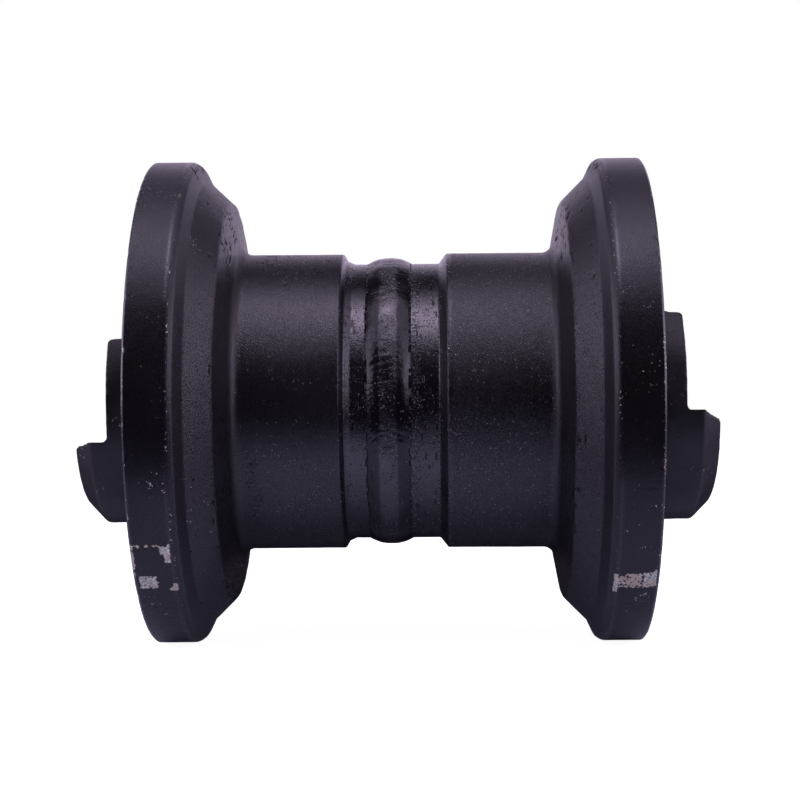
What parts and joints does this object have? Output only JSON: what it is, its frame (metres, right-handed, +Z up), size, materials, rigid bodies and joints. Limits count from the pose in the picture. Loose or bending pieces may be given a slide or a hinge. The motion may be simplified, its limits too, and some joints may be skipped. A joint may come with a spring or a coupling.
{
  "type": "track roller",
  "caption": "Double-flange bottom roller for a rubber-track undercarriage: a welded roller body that turns on a sealed shaft held in notched end collars.",
  "frame": {"origin": "middle of the axle, halfway between the two flanges", "axes": "+Y along the axle towards the right end, +Z up, +X towards the front of the machine"},
  "size_m": [0.2, 0.2566, 0.2],
  "materials": {
    "forged_body": "satin",
    "weld": "satin",
    "cast_collar": "satin",
    "shaft_steel": "satin",
    "bushing_bronze": "satin",
    "seal_iron": "satin",
    "seal_rubber": "matte",
    "spring_steel": "satin",
    "plug_steel": "satin"
  },
  "bodies": {
    "shaft": {"shaft": "shaft_steel", "left_shaft_o_ring": "seal_rubber", "left_snap_ring": "spring_steel", "right_shaft_o_ring": "seal_rubber", "right_snap_ring": "spring_steel"},
    "roller": {"weld_bead": "weld", "left_shell": "forged_body", "left_bushing": "bushing_bronze", "left_rotating_seal_ring": "seal_iron", "left_rotating_toric_ring": "seal_rubber", "right_shell": "forged_body", "right_bushing": "bushing_bronze", "right_rotating_seal_ring": "seal_iron", "right_rotating_toric_ring": "seal_rubber"},
    "left_end": {"left_collar": "cast_collar", "left_fixed_seal_ring": "seal_iron", "left_fixed_toric_ring": "seal_rubber", "left_oil_plug": "plug_steel"},
    "right_end": {"right_collar": "cast_collar", "right_fixed_seal_ring": "seal_iron", "right_fixed_toric_ring": "seal_rubber", "right_oil_plug": "plug_steel"}
  },
  "joints": [
    {"name": "roller_spin", "type": "hinge", "parent": "shaft", "child": "roller", "pos_m": [0, 0, 0], "axis": [0, 1, 0], "continuous": true},
    {"name": "left_collar_turn", "type": "hinge", "parent": "shaft", "child": "left_end", "pos_m": [0, -0.0914, 0], "axis": [0, 1, 0], "continuous": true},
    {"name": "right_collar_turn", "type": "hinge", "parent": "shaft", "child": "right_end", "pos_m": [0, 0.0914, 0], "axis": [0, 1, 0], "continuous": true}
  ]
}
